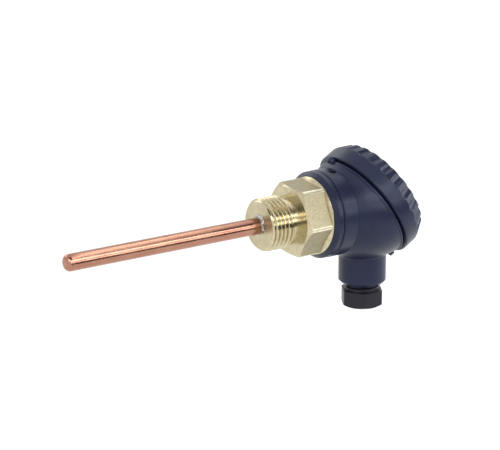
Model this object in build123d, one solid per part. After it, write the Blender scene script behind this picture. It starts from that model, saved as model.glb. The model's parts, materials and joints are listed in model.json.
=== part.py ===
from build123d import *
import math
import os

# Immersion temperature sensor: a copper pocket soldered into a brass G 1/2 fitting, with a
# plastic connection head. Millimetres. X runs along the immersion tube towards the head, +Z up.
# The origin is on the tube's axis, where the process thread reaches its full diameter.

# Process thread: G 1/2, with the diameter, pitch and depth of the pipe thread standard
THREAD_R = 20.955 / 2
THREAD_PITCH = 1.814
THREAD_DEPTH = 1.162
THREAD_GROOVES = 4
THREAD_LEAD = 1.0
THREAD_CREST = 0.40
THREAD_ROOT = 0.24
FRONT_CHAMFER = 1.1

# Brass fitting behind the thread
NECK_R = 9.75
SHANK_LENGTH = 12.5
HEX_FLATS = 27.0
HEX_LENGTH = 12.8
HEX_TURN = 4.5
HEX_FACE_R = 13.25
HEX_CHAMFER = 30.0
HEX_EDGE = 0.7
SHOULDER_T = 1.8
SHOULDER_INSET = 0.1
SPIGOT_R = 13.0
SPIGOT_LENGTH = 10.5
REAR_BORE_R = 5.0
REAR_BORE_DEPTH = 14.0
STEM_BORE_R = 2.75

# Copper immersion tube, its seat in the fitting and the solder round it
INSERTION = 100.0
TUBE_R = 3.3
TUBE_WALL = 0.55
TUBE_NOSE = 2.0
TUBE_GRIP = 9.0
SOLDER_WIDTH = 1.0
SOLDER_HEIGHT = 1.0
SOLDER_HOLLOW = 0.35
FIT = 0.05

# Probe inside the tube
ELEMENT_R = 1.5
ELEMENT_LENGTH = 12.0
ELEMENT_EDGE = 0.3
SLEEVE_R = 2.4
SLEEVE_WALL = 0.4
TIP_GAP = 0.3
LEAD_R = 0.5
LEAD_PITCH = 1.4
LEAD_INWARD = 1.5
LEAD_BELOW = 0.6
LEAD_BENDS = (2.0, 2.0, 1.6)
PLUG_LENGTH = 10.0
PLUG_SETBACK = 1.0
FERRULE_WALL = 0.3
FERRULE_LENGTH = 5.0

# Plastic ring between the hexagon and the head
RING_LENGTH = 2.3
RING_RIM_RISE = 1.5
RING_RIM_WALL = 1.7
RING_RIM_GAP = 0.12
RING_LAND = 0.2
RING_SLOPE = 1.4
SEAM_GAP = 0.2
SEAM_CHAMFER = 0.35
TURN_CLEARANCE = 0.1

# Head's neck band, which turns on the brass spigot and is held by a radial grub screw
RING_INSET = 0.1
BAND_LENGTH = 6.3
GRUB_SETBACK = 2.2
GRUB_ANGLE = 80.0
GRUB_R = 1.5
GRUB_SINK = 0.6
GRUB_SOCKET_R = 0.8
GRUB_SOCKET_DEPTH = 1.3
GRUB_EDGE = 0.3
GROOVE_WIDTH = 3.4
GROOVE_DEPTH = 1.0
SEAL_SETBACK = 3.5
SEAL_CORD_R = 0.75
CUT_CLEAR = 1.0

# Head body, a tapering bowl from the neck to a tilted round mouth
LID_TILT = 31.0
MOUTH_X = 15.2
MOUTH_Z = 0.4
BODY_NECK_INSET = 0.5
BODY_MOUTH_INSET = 0.3
BODY_BELLY = 2.4
NECK_STOP = 1.5
NECK_HOLE_R = 9.0
CHAMBER_NECK_R = 12.5
CHAMBER_R = 19.2
FLANGE_INSET = 1.3
FLANGE_T = 1.0
FLANGE_EDGE = 0.25
LID_GAP = 0.7
COLLAR_WALL = 2.1
COLLAR_HEIGHT = 5.2

# Flat eyelets for a lid cord, on the flange
LUG_ANGLES = (-100.0, 78.0)
LUG_WIDTH = 3.6
LUG_T = 1.5
LUG_REACH = 2.1
LUG_HOLE_R = 0.65
LUG_HOLE_SETBACK = 1.3

# Lid, with scallops round its shoulder
LID_WALL = 2.65
LID_SKIRT = 6.2
LID_DRAFT = 2.5
LID_SHOULDER = 10.9
LID_HEIGHT = 11.7
LID_CROWN = 0.6
LID_TOP = 2.3
LID_EDGE = 0.6
SCALLOPS = 24
SCALLOP_R = 2.5
SCALLOP_DEPTH = 1.15
SCALLOP_FOOT = 1.0
THREAD_CLEARANCE = 0.15
GASKET_T = 1.2
GASKET_WIDTH = 1.5

# Cable entry boss and its pressure screw
GLAND_OFFSET = 0.2
BOSS_R = 9.6
BOSS_FLOOR = 32.4
BOSS_CHAMFER = 1.8
BOSS_BLEND = 1.0
SCREW_R = 7.1
SCREW_LENGTH = 9.0
SCREW_GAP = 2.3
SCREW_HEX_FLATS = 15.5
SCREW_HEX_HEIGHT = 6.8
SCREW_FACE_R = 7.1
SCREW_MOUTH = 0.5
CABLE_R = 3.6
WASHER_T = 0.8
WASHER_INSET = 0.25
TIGHTEN = 1.1
CABLE_SEAL_HEIGHT = 4.0
CABLE_SEAL_BORE_R = 3.1
CABLE_SEAL_INSET = 0.2
CABLE_WAY_R = 4.5

# Terminal block, on two posts of the head body
BASE_R = 14.5
BASE_T = 3.5
BASE_TOP = -1.5
BASE_BACK = 11.0
BASE_FRONT = 8.5
BASE_CORNER = 1.0
SLOT_Y = -8.5
SLOT_LENGTH = 13.0
SLOT_WIDTH = 2.6
POST_EDGE = 2.5
POST_Y = -1.0
POST_R = 2.4
POST_LENGTH = 10.0
FIX_R = 1.25
FIX_LENGTH = 8.0
FIX_TIP_GAP = 0.5
FIX_CLEARANCE = 0.2
FIX_HEAD_R = 2.2
FIX_HEAD_T = 1.5
CLAMP_X = 4.5
CLAMP_WIDTH = 6.0
CLAMP_LENGTH = 10.0
CLAMP_HEIGHT = 4.5
CLAMP_EDGE = 0.5
WIRE_R = 0.95
WIRE_HEIGHT = 2.0
TERMINAL_Y = 2.8
TERMINAL_R = 1.2
TERMINAL_HEAD_R = 1.9
TERMINAL_HEAD_T = 1.4
DRIVE_WIDTH = 0.6
DRIVE_DEPTH = 0.6
HEAD_ROUND = 0.4

# Radii of the hexagon's corners and of what fits round them and round the spigot
HEX_CORNER_R = HEX_FLATS / 2 / math.cos(math.radians(30))
SHOULDER_R = HEX_CORNER_R - SHOULDER_INSET
RING_BORE_R = SHOULDER_R + RING_RIM_GAP
RING_R = RING_BORE_R + RING_RIM_WALL
BAND_R = RING_R + RING_INSET
BODY_NECK_R = BAND_R - BODY_NECK_INSET
NECK_BORE_R = SPIGOT_R + TURN_CLEARANCE
GRUB_TIP_R = SPIGOT_R - GROOVE_DEPTH + TURN_CLEARANCE
GRUB_END_R = BAND_R - GRUB_SINK

# Radii round the lid's axis, from the chamber outwards
COLLAR_R = CHAMBER_R + COLLAR_WALL
LID_BORE_R = COLLAR_R + THREAD_CLEARANCE
LID_R = LID_BORE_R + LID_WALL
LID_SHOULDER_R = LID_R - LID_DRAFT
FLANGE_R = LID_R - FLANGE_INSET
BODY_MOUTH_R = FLANGE_R - BODY_MOUTH_INSET

# Places along X, each from the one before it
FRONT_X = -FRONT_CHAMFER
THREAD_LENGTH = THREAD_LEAD + THREAD_GROOVES * THREAD_PITCH
HEX_X = SHANK_LENGTH
HEX_END_X = HEX_X + HEX_LENGTH
TIP_X = HEX_X - INSERTION
SPIGOT_X = HEX_END_X + SPIGOT_LENGTH
RING_X = HEX_END_X - RING_RIM_RISE
RING_END_X = HEX_END_X + RING_LENGTH
BAND_X = RING_END_X + SEAM_GAP
BAND_END_X = BAND_X + BAND_LENGTH
GRUB_X = BAND_END_X - GRUB_SETBACK
NECK_SEAL_X = HEX_END_X + SEAL_SETBACK
STOP_X = SPIGOT_X + TURN_CLEARANCE
CHAMBER_X = STOP_X + NECK_STOP
MOUTH = Vector(BAND_END_X + MOUTH_X, 0, MOUTH_Z)
GLAND_X = MOUTH.X + GLAND_OFFSET
POST_X = BASE_R - POST_EDGE
ELEMENT_X = TIP_X + TUBE_WALL + TIP_GAP
ELEMENT_END_X = ELEMENT_X + ELEMENT_LENGTH
PLUG_END_X = SPIGOT_X - PLUG_SETBACK
PLUG_X = PLUG_END_X - PLUG_LENGTH

# Heights in the lid's own frame, above the mouth plane
FLANGE_TOP = -LID_GAP
FLANGE_FLOOR = FLANGE_TOP - FLANGE_T
GASKET_TOP = COLLAR_HEIGHT + GASKET_T
LID_ROOF = LID_HEIGHT - LID_TOP
BASE_FLOOR = BASE_TOP - BASE_T
CLAMP_TOP = BASE_TOP + CLAMP_HEIGHT
WIRE_S = BASE_TOP + WIRE_HEIGHT

# Heights along the cable entry, downwards
BOSS_BORE_R = SCREW_R + THREAD_CLEARANCE
SCREW_HEX_Z = -BOSS_FLOOR - SCREW_GAP
SCREW_TOP_Z = SCREW_HEX_Z + SCREW_LENGTH
WASHER_TOP_Z = SCREW_TOP_Z + WASHER_T
SEAL_FLOOR_Z = WASHER_TOP_Z + TIGHTEN
SEAL_SEAT_Z = SEAL_FLOOR_Z + CABLE_SEAL_HEIGHT

TILT = math.radians(LID_TILT)
ALONG_X = Plane(origin=(0, 0, 0), x_dir=(0, -1, 0), z_dir=(1, 0, 0))
LID_PLANE = Plane(origin=MOUTH, x_dir=(0, -1, 0), z_dir=(math.cos(TILT), 0, math.sin(TILT)))
GLAND_PLANE = Plane(origin=(GLAND_X, 0, 0), x_dir=(1, 0, 0), z_dir=(0, 0, 1))


def turned(*points):
    """A solid of revolution about Z from its outline in (radius, height)."""
    outline = Polyline(*[(r, 0, h) for r, h in points], close=True)
    return revolve(make_face(outline), Axis.Z)


def rod(radius, low, high):
    """A round bar about Z between two heights."""
    return Pos(0, 0, low) * Cylinder(radius, high - low, align=(Align.CENTER, Align.CENTER, Align.MIN))


def tube(radius, bore, low, high):
    """A round tube about Z between two heights."""
    return rod(radius, low, high) - rod(bore, low, high)


def block(width, length, low, high):
    """A rectangular block about Z between two heights."""
    base = Pos(0, 0, low)
    return base * Box(width, length, high - low, align=(Align.CENTER, Align.CENTER, Align.MIN))


def hexagon(flats, low, high, turn=0.0, edge=0.0):
    """A hexagonal bar about Z, with a corner on its X axis before it is turned."""
    corner = flats / 2 / math.cos(math.radians(30))
    bar = extrude(RegularPolygon(corner, 6), high - low)
    if edge:
        bar = fillet(bar.edges().filter_by(Axis.Z), edge)
    return Pos(0, 0, low) * Rot(0, 0, turn) * bar


def chamfer_depth(flats, face_r):
    """How far a hexagon's corners are cut back by a chamfer that leaves a round face."""
    corner = flats / 2 / math.cos(math.radians(30))
    return (corner - face_r) * math.tan(math.radians(HEX_CHAMFER))


def chamfered_hexagon(flats, low, high, face_r, turn=0.0, edge=0.0):
    """A hexagonal bar whose corners are cut by a cone at its low end."""
    corner = flats / 2 / math.cos(math.radians(30))
    outline = [(0, low), (face_r, low), (corner, low + chamfer_depth(flats, face_r)), (corner, high), (0, high)]
    return hexagon(flats, low, high, turn, edge) & turned(*outline)


def thread_outline():
    """The thread's outline from its first crest to its last, with one groove a pitch."""
    points = [(THREAD_R, 0)]
    flank = (THREAD_PITCH - THREAD_CREST - THREAD_ROOT) / 2
    for i in range(THREAD_GROOVES):
        start = THREAD_LEAD + i * THREAD_PITCH
        points.append((THREAD_R, start))
        points.append((THREAD_R - THREAD_DEPTH, start + flank))
        points.append((THREAD_R - THREAD_DEPTH, start + flank + THREAD_ROOT))
        points.append((THREAD_R, start + 2 * flank + THREAD_ROOT))
    points.append((THREAD_R, THREAD_LENGTH))
    return points


def pocket_body():
    """Brass fitting: thread, neck, hexagon and the spigot that carries the head."""
    runout = THREAD_R - NECK_R
    shaft = [(0, FRONT_X), (THREAD_R - FRONT_CHAMFER, FRONT_X)]
    shaft += thread_outline()
    shaft += [(NECK_R, THREAD_LENGTH + runout), (NECK_R, HEX_X), (0, HEX_X)]
    body = turned(*shaft)
    body += chamfered_hexagon(HEX_FLATS, HEX_X, HEX_END_X, HEX_FACE_R, HEX_TURN, HEX_EDGE)
    body += rod(SHOULDER_R, HEX_END_X - SHOULDER_T, HEX_END_X)
    body += rod(SPIGOT_R, HEX_END_X, SPIGOT_X)
    seal_half = SEAL_CORD_R + FIT
    seal_floor = SPIGOT_R - 2 * SEAL_CORD_R
    body -= tube(SPIGOT_R + CUT_CLEAR, seal_floor, NECK_SEAL_X - seal_half, NECK_SEAL_X + seal_half)
    groove_half = GROOVE_WIDTH / 2
    body -= tube(SPIGOT_R + CUT_CLEAR, SPIGOT_R - GROOVE_DEPTH, GRUB_X - groove_half, GRUB_X + groove_half)
    body -= rod(TUBE_R + FIT, FRONT_X, TUBE_GRIP)
    body -= rod(STEM_BORE_R, TUBE_GRIP, SPIGOT_X)
    body -= rod(REAR_BORE_R, SPIGOT_X - REAR_BORE_DEPTH, SPIGOT_X)
    return ALONG_X * body


def immersion_tube():
    """Copper tube, closed and rounded at its tip."""
    outside = fillet(rod(TUBE_R, TIP_X, TUBE_GRIP).edges().sort_by(Axis.Z)[0], TUBE_NOSE)
    bore_r = TUBE_R - TUBE_WALL
    bore = rod(bore_r, TIP_X + TUBE_WALL, TUBE_GRIP)
    bore = fillet(bore.edges().sort_by(Axis.Z)[0], TUBE_NOSE - TUBE_WALL)
    return ALONG_X * (outside - bore)


def solder_ring():
    """Ring of solder between the tube and the fitting's front face."""
    tip = (TUBE_R, 0, FRONT_X - SOLDER_HEIGHT)
    middle = (TUBE_R + SOLDER_WIDTH * SOLDER_HOLLOW, 0, FRONT_X - SOLDER_HEIGHT * SOLDER_HOLLOW)
    foot = (TUBE_R + SOLDER_WIDTH, 0, FRONT_X)
    edge = ThreePointArc(tip, middle, foot)
    sides = Polyline(foot, (TUBE_R, 0, FRONT_X), tip)
    return ALONG_X * revolve(make_face(edge + sides), Axis.Z)


def lead_y(side):
    """Where a lead lies across the probe: side is -1 or 1."""
    return side * LEAD_PITCH / 2


def sensing_element():
    """Sensing element at the tip."""
    return ALONG_X * fillet(rod(ELEMENT_R, ELEMENT_X, ELEMENT_END_X).edges(), ELEMENT_EDGE)


def element_sleeve():
    """Insulating sleeve round the element and the leads."""
    return ALONG_X * tube(SLEEVE_R, SLEEVE_R - SLEEVE_WALL, ELEMENT_X + TUBE_NOSE, PLUG_X)


def lead_grommet():
    """Rubber plug that holds the two leads at the back of the fitting."""
    plug = rod(REAR_BORE_R - TURN_CLEARANCE, PLUG_X, PLUG_END_X)
    for side in (-1, 1):
        plug -= Pos(lead_y(side), 0, 0) * rod(LEAD_R + FIT, PLUG_X, PLUG_END_X)
    return ALONG_X * plug


def in_lid(x, y, s):
    """A point given in the lid's own frame."""
    return LID_PLANE.from_local_coords(Vector(x, y, s))


def lead_wire(side):
    """One insulated lead, from the element through the slot to its clamp."""
    start = Vector(ELEMENT_END_X, -lead_y(side), 0)
    leave = Vector(CHAMBER_X, -lead_y(side), 0)
    rise = in_lid(side * (CLAMP_X - LEAD_INWARD), SLOT_Y, BASE_FLOOR - LEAD_BELOW)
    over = in_lid(side * CLAMP_X, SLOT_Y, WIRE_S)
    end = in_lid(side * CLAMP_X, -TERMINAL_Y + TERMINAL_R, WIRE_S)
    path = FilletPolyline(start, leave, rise, over, end, radius=LEAD_BENDS)
    section = Plane(origin=start, x_dir=(0, 1, 0), z_dir=(1, 0, 0)) * Circle(LEAD_R)
    return sweep(section, path=path)


def lead_ferrules():
    """Crimped ends of the leads, inside the clamps."""
    ferrule = tube(LEAD_R + FERRULE_WALL, LEAD_R + FIT / 2, 0, FERRULE_LENGTH)
    ends = []
    for side in (-1, 1):
        tip = -TERMINAL_Y + TERMINAL_R
        place = Pos(side * CLAMP_X, tip - FERRULE_LENGTH, WIRE_S) * Rot(-90, 0, 0)
        ends.append(LID_PLANE * (place * ferrule))
    return Compound(children=ends)


def neck_ring():
    """Plastic ring behind the hexagon, with a sloped rim round the shoulder."""
    ring = turned(
        (RING_BORE_R, RING_X), (RING_BORE_R + RING_LAND, RING_X), (RING_R, RING_X + RING_SLOPE),
        (RING_R, RING_END_X - SEAM_CHAMFER), (RING_R - SEAM_CHAMFER, RING_END_X),
        (SPIGOT_R + FIT, RING_END_X), (SPIGOT_R + FIT, HEX_END_X), (RING_BORE_R, HEX_END_X),
    )
    return ALONG_X * ring


def neck_seal():
    """O-ring in the spigot's first groove."""
    centre_r = SPIGOT_R - SEAL_CORD_R
    return ALONG_X * (Pos(0, 0, NECK_SEAL_X) * Torus(centre_r, SEAL_CORD_R))


def grub_plane():
    """The grub screw's own frame: its axis points out of the neck."""
    angle = math.radians(GRUB_ANGLE)
    out = (0, -math.cos(angle), math.sin(angle))
    return Plane(origin=(GRUB_X, 0, 0), x_dir=(1, 0, 0), z_dir=out)


def neck_grub_screw():
    """Socket grub screw that holds the head on the spigot."""
    screw = chamfer(rod(GRUB_R, GRUB_TIP_R, GRUB_END_R).edges().filter_by(GeomType.CIRCLE), GRUB_EDGE)
    socket = extrude(RegularPolygon(GRUB_SOCKET_R, 6), GRUB_SOCKET_DEPTH)
    screw -= Pos(0, 0, GRUB_END_R - GRUB_SOCKET_DEPTH) * socket
    return grub_plane() * screw


def neck_circle(x, radius):
    """A circle across the neck."""
    return Plane(origin=(x, 0, 0), x_dir=(0, -1, 0), z_dir=(1, 0, 0)) * Circle(radius)


def mouth_circle(s, radius):
    """A circle parallel to the mouth, at a height above it."""
    return LID_PLANE.offset(s) * Circle(radius)


def belly_circle():
    """A circle half way between the neck and the mouth, full at its underside."""
    half = TILT / 2
    middle = (Vector(BAND_END_X, 0, 0) + in_lid(0, 0, FLANGE_FLOOR)) / 2
    centre = middle + Vector(math.sin(half), 0, -math.cos(half)) * (BODY_BELLY / 2)
    across = Plane(origin=centre, x_dir=(0, -1, 0), z_dir=(math.cos(half), 0, math.sin(half)))
    return across * Circle((BODY_NECK_R + BODY_MOUTH_R + BODY_BELLY) / 2)


def cord_lug(angle):
    """A flat eyelet with a round end that stands out of the flange."""
    tip = FLANGE_R + LUG_REACH
    floor = FLANGE_TOP - LUG_T
    end = tip - LUG_WIDTH / 2
    length = end - CHAMBER_R
    lug = Pos(end - length / 2, 0, 0) * block(length, LUG_WIDTH, floor, FLANGE_TOP)
    lug += Pos(end, 0, 0) * rod(LUG_WIDTH / 2, floor, FLANGE_TOP)
    lug -= Pos(tip - LUG_HOLE_SETBACK, 0, 0) * rod(LUG_HOLE_R, floor, FLANGE_TOP)
    return LID_PLANE * (Rot(0, 0, angle) * lug)


def head_housing():
    """Head body: neck band, bowl, threaded collar at the mouth, and the cable entry boss."""
    bowl = loft([neck_circle(BAND_END_X, BODY_NECK_R), belly_circle(), mouth_circle(FLANGE_FLOOR, BODY_MOUTH_R)])
    boss_top = BOSS_R / 2 - BODY_NECK_R
    boss = GLAND_PLANE * turned(
        (0, -BOSS_FLOOR), (BOSS_R - BOSS_CHAMFER, -BOSS_FLOOR), (BOSS_R, -BOSS_FLOOR + BOSS_CHAMFER),
        (BOSS_R, boss_top), (0, boss_top),
    )
    body = bowl + boss
    body = fillet(new_edges(bowl, boss, combined=body), BOSS_BLEND)
    band = chamfer(rod(BAND_R, BAND_X, BAND_END_X).edges().sort_by(Axis.Z)[0], SEAM_CHAMFER)
    body += ALONG_X * band
    flange = fillet(rod(FLANGE_R, FLANGE_FLOOR, FLANGE_TOP).edges().filter_by(GeomType.CIRCLE), FLANGE_EDGE)
    body += LID_PLANE * flange
    body += LID_PLANE * rod(COLLAR_R, FLANGE_TOP, COLLAR_HEIGHT)
    for angle in LUG_ANGLES:
        body += cord_lug(angle)
    body -= loft([neck_circle(CHAMBER_X, CHAMBER_NECK_R), mouth_circle(FLANGE_FLOOR, CHAMBER_R)])
    body -= LID_PLANE * rod(CHAMBER_R, FLANGE_FLOOR, COLLAR_HEIGHT)
    for side in (-1, 1):
        place = LID_PLANE * Pos(side * POST_X, POST_Y, 0)
        body += (place * rod(POST_R, BASE_FLOOR - POST_LENGTH, BASE_FLOOR)) & bowl
        body -= place * rod(FIX_R, BASE_FLOOR - FIX_LENGTH, BASE_FLOOR)
    body -= ALONG_X * rod(NECK_BORE_R, BAND_X, STOP_X)
    body -= ALONG_X * rod(NECK_HOLE_R, BAND_X, CHAMBER_X)
    body -= grub_plane() * rod(GRUB_R + FIT, SPIGOT_R - GROOVE_DEPTH, BAND_R + CUT_CLEAR)
    body -= GLAND_PLANE * rod(BOSS_BORE_R, -BOSS_FLOOR, SEAL_SEAT_Z)
    body -= GLAND_PLANE * rod(CABLE_WAY_R, SEAL_SEAT_Z, -CHAMBER_NECK_R / 2)
    return body


def scallop_cutter():
    """A round-ended bar that follows the lid's shoulder, where X is outwards."""
    rise = LID_SHOULDER - LID_SKIRT
    lean = math.degrees(math.atan2(LID_R - LID_SHOULDER_R, rise))
    reach = SCALLOP_R - SCALLOP_DEPTH
    length = 3 * rise
    bar = Cylinder(SCALLOP_R, length, align=(Align.CENTER, Align.CENTER, Align.MIN)) + Sphere(SCALLOP_R)
    foot_x = LID_R + reach * math.cos(math.radians(lean))
    foot_s = LID_SKIRT + SCALLOP_FOOT + reach * math.sin(math.radians(lean))
    return Pos(foot_x, 0, foot_s) * Rot(0, -lean, 0) * bar


def lid():
    """Screwed lid: plain skirt, scalloped shoulder and a slightly crowned top."""
    crown_r = LID_SHOULDER_R - LID_EDGE
    crown_s = LID_HEIGHT - LID_CROWN
    edge_in = LID_EDGE * math.sin(math.radians(45))
    rim = ThreePointArc(
        (LID_R - LID_EDGE, 0, 0), (LID_R - LID_EDGE + edge_in, 0, LID_EDGE - edge_in), (LID_R, 0, LID_EDGE)
    )
    side = Polyline(
        (LID_R, 0, LID_EDGE), (LID_R, 0, LID_SKIRT), (LID_SHOULDER_R, 0, LID_SHOULDER), (crown_r, 0, crown_s)
    )
    crown = ThreePointArc(
        (crown_r, 0, crown_s), (crown_r / 2, 0, LID_HEIGHT - LID_CROWN / 4), (0, 0, LID_HEIGHT)
    )
    middle = Polyline((0, 0, LID_HEIGHT), (0, 0, 0), (LID_R - LID_EDGE, 0, 0))
    shell = revolve(make_face(rim + side + crown + middle), Axis.Z)
    cutter = scallop_cutter()
    shell -= [Rot(0, 0, 360 / SCALLOPS * (i + 0.5)) * cutter for i in range(SCALLOPS)]
    shell -= rod(LID_BORE_R, 0, GASKET_TOP)
    shell -= rod(COLLAR_R - GASKET_WIDTH - THREAD_CLEARANCE, GASKET_TOP, LID_ROOF)
    return LID_PLANE * shell


def lid_seal():
    """Flat gasket between the collar and the lid's inner shoulder."""
    return LID_PLANE * tube(COLLAR_R - FIT, COLLAR_R - GASKET_WIDTH, COLLAR_HEIGHT, GASKET_TOP)


def gland_screw():
    """Hollow pressure screw: hexagon below, threaded shank inside the boss."""
    screw = rod(SCREW_R, SCREW_HEX_Z, SCREW_TOP_Z)
    floor = SCREW_HEX_Z - SCREW_HEX_HEIGHT
    screw += chamfered_hexagon(SCREW_HEX_FLATS, floor, SCREW_HEX_Z, SCREW_FACE_R)
    screw -= rod(CABLE_R, floor, SCREW_TOP_Z)
    mouth = screw.edges().filter_by(GeomType.CIRCLE).group_by(Axis.Z)[0].sort_by(SortBy.RADIUS)[0]
    return GLAND_PLANE * chamfer(mouth, SCREW_MOUTH)


def gland_washer():
    """Thrust washer on the end of the pressure screw."""
    return GLAND_PLANE * tube(SCREW_R - WASHER_INSET, CABLE_R, SCREW_TOP_Z, WASHER_TOP_Z)


def gland_seal():
    """Rubber cable seal, against its seat in the boss."""
    return GLAND_PLANE * tube(BOSS_BORE_R - CABLE_SEAL_INSET, CABLE_SEAL_BORE_R, SEAL_FLOOR_Z, SEAL_SEAT_Z)


def terminal_base():
    """Moulded base of the terminal block, with a slot for the leads."""
    base = rod(BASE_R, BASE_FLOOR, BASE_TOP)
    middle = (BASE_FRONT - BASE_BACK) / 2
    base &= Pos(0, middle, 0) * block(2 * BASE_R, BASE_FRONT + BASE_BACK, BASE_FLOOR, BASE_TOP)
    base = fillet(base.edges().filter_by(Axis.Z), BASE_CORNER)
    base -= Pos(0, SLOT_Y, BASE_FLOOR) * extrude(SlotOverall(SLOT_LENGTH, SLOT_WIDTH), BASE_T)
    for side in (-1, 1):
        base -= Pos(side * POST_X, POST_Y, 0) * rod(FIX_R + FIX_CLEARANCE, BASE_FLOOR, BASE_TOP)
    return LID_PLANE * base


def pan_screw(head_r, head_t, shank_r, length, top):
    """A slotted pan-head screw whose head sits on the height given."""
    head = fillet(rod(head_r, top, top + head_t).edges().sort_by(Axis.Z)[-1], head_t * HEAD_ROUND)
    drive = block(2 * head_r, DRIVE_WIDTH, top + head_t - DRIVE_DEPTH, top + head_t)
    return head + rod(shank_r, top - length, top) - drive


def base_screws():
    """Two screws that hold the terminal block on its posts."""
    shank = FIX_LENGTH + BASE_T - FIX_TIP_GAP
    screw = pan_screw(FIX_HEAD_R, FIX_HEAD_T, FIX_R - FIT, shank, BASE_TOP)
    return Compound(children=[LID_PLANE * (Pos(side * POST_X, POST_Y, 0) * screw) for side in (-1, 1)])


def terminal_clamps():
    """Two brass clamp bars, each with a wire hole through it and two screw holes."""
    bar = block(CLAMP_WIDTH, CLAMP_LENGTH, BASE_TOP, CLAMP_TOP)
    bar = fillet(bar.edges().filter_by(Axis.Z), CLAMP_EDGE)
    hole = Cylinder(WIRE_R, 2 * CLAMP_LENGTH)
    bar -= Pos(0, 0, WIRE_S) * Rot(90, 0, 0) * hole
    for end in (-1, 1):
        bar -= Pos(0, end * TERMINAL_Y, 0) * rod(TERMINAL_R + FIT, WIRE_S, CLAMP_TOP)
    return Compound(children=[LID_PLANE * (Pos(side * CLAMP_X, 0, 0) * bar) for side in (-1, 1)])


def terminal_screws():
    """Four clamp screws."""
    shank = CLAMP_TOP - WIRE_S - LEAD_R - FERRULE_WALL
    screw = pan_screw(TERMINAL_HEAD_R, TERMINAL_HEAD_T, TERMINAL_R, shank, CLAMP_TOP)
    places = [Pos(side * CLAMP_X, end * TERMINAL_Y, 0) for side in (-1, 1) for end in (-1, 1)]
    return Compound(children=[LID_PLANE * (place * screw) for place in places])


PARTS = {
    "pocket_body": pocket_body,
    "immersion_tube": immersion_tube,
    "solder_ring": solder_ring,
    "sensing_element": sensing_element,
    "element_sleeve": element_sleeve,
    "lead_grommet": lead_grommet,
    "lead_wire_left": lambda: lead_wire(-1),
    "lead_wire_right": lambda: lead_wire(1),
    "lead_ferrules": lead_ferrules,
    "neck_ring": neck_ring,
    "neck_seal": neck_seal,
    "neck_grub_screw": neck_grub_screw,
    "head_housing": head_housing,
    "terminal_base": terminal_base,
    "terminal_clamps": terminal_clamps,
    "terminal_screws": terminal_screws,
    "base_screws": base_screws,
    "lid": lid,
    "lid_seal": lid_seal,
    "gland_screw": gland_screw,
    "gland_washer": gland_washer,
    "gland_seal": gland_seal,
}

os.makedirs("parts", exist_ok=True)
for name, make in PARTS.items():
    export_step(make(), f"parts/{name}.step")
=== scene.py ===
import json
import math

import bmesh
import bpy
from mathutils import Matrix, Vector


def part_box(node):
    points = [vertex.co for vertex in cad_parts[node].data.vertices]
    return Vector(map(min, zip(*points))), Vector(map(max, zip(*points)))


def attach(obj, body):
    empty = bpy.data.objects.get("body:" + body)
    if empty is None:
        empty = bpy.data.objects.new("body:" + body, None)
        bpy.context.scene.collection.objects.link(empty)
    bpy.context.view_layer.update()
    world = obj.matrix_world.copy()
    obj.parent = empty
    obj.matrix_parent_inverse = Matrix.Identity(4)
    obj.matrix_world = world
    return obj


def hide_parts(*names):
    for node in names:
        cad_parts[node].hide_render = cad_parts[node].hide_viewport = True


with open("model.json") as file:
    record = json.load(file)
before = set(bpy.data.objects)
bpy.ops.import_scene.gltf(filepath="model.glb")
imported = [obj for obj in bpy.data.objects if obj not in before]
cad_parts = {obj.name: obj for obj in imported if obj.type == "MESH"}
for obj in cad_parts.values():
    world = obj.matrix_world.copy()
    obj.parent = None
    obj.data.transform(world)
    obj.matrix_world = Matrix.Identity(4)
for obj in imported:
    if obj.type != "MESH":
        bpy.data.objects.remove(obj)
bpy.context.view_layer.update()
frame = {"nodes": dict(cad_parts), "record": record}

# Immersion temperature sensor. Pieces are shaped in millimetres about their own axis and then
# set in place in metres. X runs along the copper tube towards the head, +Z is up.
# A turned solid ends in flat discs of CORE_R, which its bores then take away. Joined solids reach
# OVERLAP into each other and cutters reach CLEAR past a piece, so that no two faces fall together.
MM = 0.001
CORE_R = 1.5
OVERLAP = 0.5
CLEAR = 1.0
CUTTER_OVER = 0.2

# Points closer than these lengths become one
WELD = 0.0005
HAIR = 0.002
SLIVER = 0.001

# Points round each turned piece
FITTING_STEPS = 192
THREAD_STEPS = 160
RIDGE_STEPS = 144
SOLDER_STEPS = 144
SCREW_STEPS = 128
BORE_STEPS = 96
TUBE_STEPS = 96
GROOVE_STEPS = 96
SCALLOP_STEPS = 16

# Process thread and brass fitting
THREAD_R = 20.955 / 2
THREAD_PITCH = 1.814
THREAD_DEPTH = 1.162
THREAD_ROOT = 0.24
THREAD_CREST = 0.40
THREAD_LEAD = 1.0
THREAD_LENGTH = THREAD_LEAD + 4 * THREAD_PITCH
THREAD_ROUND = 0.12
THREAD_TURNS_BEFORE = 3
THREAD_TURNS_AFTER = 3.35
THREAD_FADE = 0.6
FRONT_CHAMFER = 1.1
NECK_R = 9.75
HEX_X = 12.5
HEX_LENGTH = 12.8
HEX_FLATS = 27.0
HEX_TURN = 4.5
HEX_FACE_R = 13.25
HEX_EDGE = 0.9
HEX_SLOPE = 30.0
SHOULDER_R = 15.49
SHOULDER_T = 1.8
SHOULDER_SLOPE = 0.9
SHOULDER_EDGE = 0.1
SHOULDER_SINK = 0.4
SPIGOT_R = 13.0
SPIGOT_X = 35.8
SEAL_GROOVE = (28.0, 29.6, 11.5)
GRUB_GROOVE = (30.2, 33.6, 12.0)
SEAT_R = 3.35
SEAT_DEPTH = 9.0
STEM_BORE_R = 2.75
REAR_BORE_R = 5.0
REAR_BORE_DEPTH = 14.0
REAR_BORE_X = SPIGOT_X - REAR_BORE_DEPTH
FACE_X = -FRONT_CHAMFER
HIDDEN_X = HEX_X + 1.0

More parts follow.
